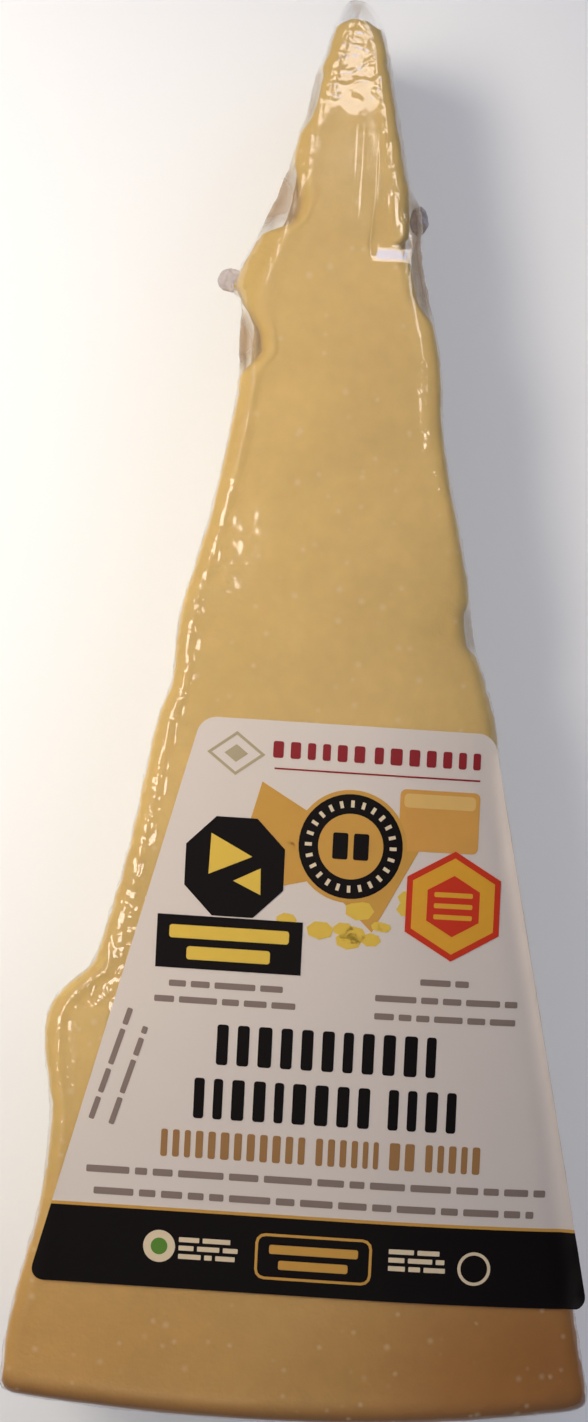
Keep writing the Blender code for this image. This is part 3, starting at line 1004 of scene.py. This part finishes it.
def print_badges():
    """A black eight-sided badge over a plaque, a ringed gold seal, and a six-sided yellow one."""
    shape = bmesh.new()
    disc(shape, (-12.3, 21.3), 7.7, 8, math.pi / 8)
    bar(shape, -23.0, -2.1, 28.6, 36.2)
    printed("print_black_badge", shape, 3, black, paper_tree)
    shape = bmesh.new()
    disc(shape, (-13.9, 19.6), 3.4, 3, 0.5, (1.2, 1.0))
    disc(shape, (-9.8, 23.2), 2.2, 3, 1.6, (1.2, 1.0))
    bar(shape, -21.2, -4.0, 30.0, 31.9, 0.4)
    bar(shape, -18.6, -6.6, 33.0, 34.9, 0.4)
    printed("print_badge_gold", shape, 4, bright_gold, paper_tree)
    shape = bmesh.new()
    disc(shape, (4.2, 17.3), 8.1, 48)
    printed("print_seal_edge", shape, 3, gold, paper_tree)
    shape = bmesh.new()
    disc(shape, (4.2, 17.3), 7.5, 48)
    printed("print_seal_ring", shape, 4, black, paper_tree)
    shape = bmesh.new()
    disc(shape, (4.2, 17.3), 4.7, 48)
    printed("print_seal_middle", shape, 5, gold, paper_tree)
    shape = bmesh.new()
    bar(shape, 1.6, 3.8, 15.4, 19.2, 0.3)
    bar(shape, 4.6, 6.8, 15.4, 19.2, 0.3)
    printed("print_seal_marks", shape, 6, black, paper_tree)
    shape = bmesh.new()
    for step in range(24):
        angle = 2.0 * math.pi * step / 24
        x, down = 4.2 + 6.1 * math.cos(angle), 17.3 + 6.1 * math.sin(angle)
        bar(shape, x - 0.5, x + 0.5, down - 0.25, down + 0.25, 0.0, math.pi - angle)
    printed("print_seal_dashes", shape, 5, cream, paper_tree)
    shape = bmesh.new()
    disc(shape, (19.4, 25.0), 7.9, 6)
    printed("print_six_sided_edge", shape, 3, red, paper_tree)
    shape = bmesh.new()
    disc(shape, (19.4, 25.0), 6.9, 6)
    printed("print_six_sided_field", shape, 4, yellow, paper_tree)
    shape = bmesh.new()
    disc(shape, (19.4, 25.0), 4.4, 6)
    printed("print_six_sided_middle", shape, 5, red, paper_tree)
    shape = bmesh.new()
    for down in (23.4, 25.0, 26.6):
        bar(shape, 16.6, 22.2, down - 0.35, down + 0.35, 0.2)
    printed("print_six_sided_bars", shape, 6, yellow, paper_tree)


def print_band_marks(draw):
    """The small marks in the black band."""
    shape = bmesh.new()
    disc(shape, (-20.4, 76.1), 2.3, 32)
    for line in range(3):
        words(shape, draw, -17.6, -9.1, 75.0 + 1.2 * line, 0.7, 4.0, 0.5, 0.1)
        words(shape, draw, 12.6, 21.4, 74.8 + 1.2 * line, 0.7, 4.0, 0.5, 0.1)
    rim_only(shape, 0.45, disc, (25.0, 76.7), 2.4, 32)
    printed("print_band_pale_marks", shape, 2, cream, paper_tree)
    shape = bmesh.new()
    disc(shape, (-20.4, 76.1), 1.2, 24)
    printed("print_band_green_dot", shape, 3, green, paper_tree)
    shape = bmesh.new()
    rim_only(shape, 0.4, bar, -6.6, 10.2, 73.3, 79.9, 1.4)
    bar(shape, -4.6, 8.2, 74.9, 76.2, 0.3)
    bar(shape, -3.2, 6.8, 77.1, 78.4, 0.3)
    printed("print_band_gold_marks", shape, 2, gold, paper_tree)


draw = random.Random(11)
print_band()
print_titles(draw)
print_side_lines(draw)
print_heading(draw)
print_picture(draw)
print_badges()
print_band_marks(draw)


# ---------------------------------------------------------------- floor, lights and camera

CAMERA_HEIGHT = 500.0  # above the upper face
CAMERA_PLACE = (-4.92, -0.55)
CAMERA_ROLL = math.radians(2.893)
VIEW_LENGTH = 204.3  # how much of the wedge's length the picture takes in
SENSOR = 36.0


def lay_floor():
    shape = bmesh.new()
    bmesh.ops.create_grid(shape, x_segments=1, y_segments=1, size=2.5)
    bmesh.ops.translate(shape, verts=shape.verts[:], vec=(0.0, 0.0, -0.0003))
    mesh = bpy.data.meshes.new("floor")
    shape.to_mesh(mesh)
    shape.free()
    mesh.materials.append(floor_material())
    floor = bpy.data.objects.new("floor", mesh)
    bpy.context.scene.collection.objects.link(floor)


def add_light(name, place, aim, size, power, colour, mirrored=True, lights_up=True, spread=180.0):
    """A soft rectangular lamp, in metres. It can be left out of reflections, or seen only in them."""
    lamp = bpy.data.lights.new(name, "AREA")
    lamp.shape = "RECTANGLE"
    lamp.size, lamp.size_y = size
    lamp.energy = power
    lamp.color = colour
    lamp.spread = math.radians(spread)
    light = bpy.data.objects.new(name, lamp)
    light.location = place
    light.rotation_euler = (Vector(aim) - Vector(place)).to_track_quat("-Z", "Y").to_euler()
    light.visible_glossy = mirrored
    light.visible_diffuse = lights_up
    bpy.context.scene.collection.objects.link(light)


def set_lights():
    top = THICKNESS * MM
    middle = (0.0, 0.03, top)
    add_light(
        "warm key", (-0.28, 0.10, 0.46), (-0.16, 0.045, top), (0.2, 0.2), 0.36, (1.0, 0.82, 0.62), mirrored=False,
        spread=54.0,
    )
    add_light("room fill", (0.10, 0.15, 0.90), middle, (0.9, 0.9), 1.0, (1.0, 0.93, 0.98), mirrored=False)
    add_light("cool window", (0.34, 0.42, 0.50), middle, (0.3, 0.3), 0.35, (0.78, 0.82, 1.0), mirrored=False)
    for name, place, size, power, colour in (
        ("left softbox", (-0.21, -0.005, 0.62), (0.19, 0.19), 0.89, (1.0, 0.90, 0.84)),
        ("tip softbox", (0.006, 0.265, 0.62), (0.30, 0.16), 0.85, (1.0, 0.90, 0.82)),
        ("left tip softbox", (-0.20, 0.31, 0.62), (0.11, 0.11), 0.21, (1.0, 0.90, 0.82)),
        ("blue strip", (0.03, 0.405, 0.62), (0.20, 0.10), 0.55, (0.34, 0.54, 1.0)),
        ("right strip", (0.13, 0.17, 0.62), (0.07, 0.05), 0.065, (1.0, 0.93, 0.86)),
    ):
        add_light(name, place, middle, size, power, colour, lights_up=False)
    world = bpy.data.worlds.new("soft room")
    world.use_nodes = True
    world.node_tree.nodes["Background"].inputs["Color"].default_value = (0.92, 0.90, 1.0, 1.0)
    world.node_tree.nodes["Background"].inputs["Strength"].default_value = 0.12
    bpy.context.scene.world = world


def set_camera():
    """Straight above the wedge, turned a little."""
    lens = bpy.data.cameras.new("camera")
    lens.sensor_width = SENSOR
    lens.lens = SENSOR * CAMERA_HEIGHT / VIEW_LENGTH
    lens.clip_start = 0.01
    camera = bpy.data.objects.new("camera", lens)
    camera.location = (
        CAMERA_PLACE[0] * MM,
        CAMERA_PLACE[1] * MM,
        (THICKNESS + CAMERA_HEIGHT) * MM,
    )
    camera.rotation_euler = (0.0, 0.0, CAMERA_ROLL)
    bpy.context.scene.collection.objects.link(camera)
    bpy.context.scene.camera = camera


lay_floor()
set_lights()
set_camera()
bpy.context.scene.view_settings.view_transform = "Standard"

bpy.context.view_layer.update()
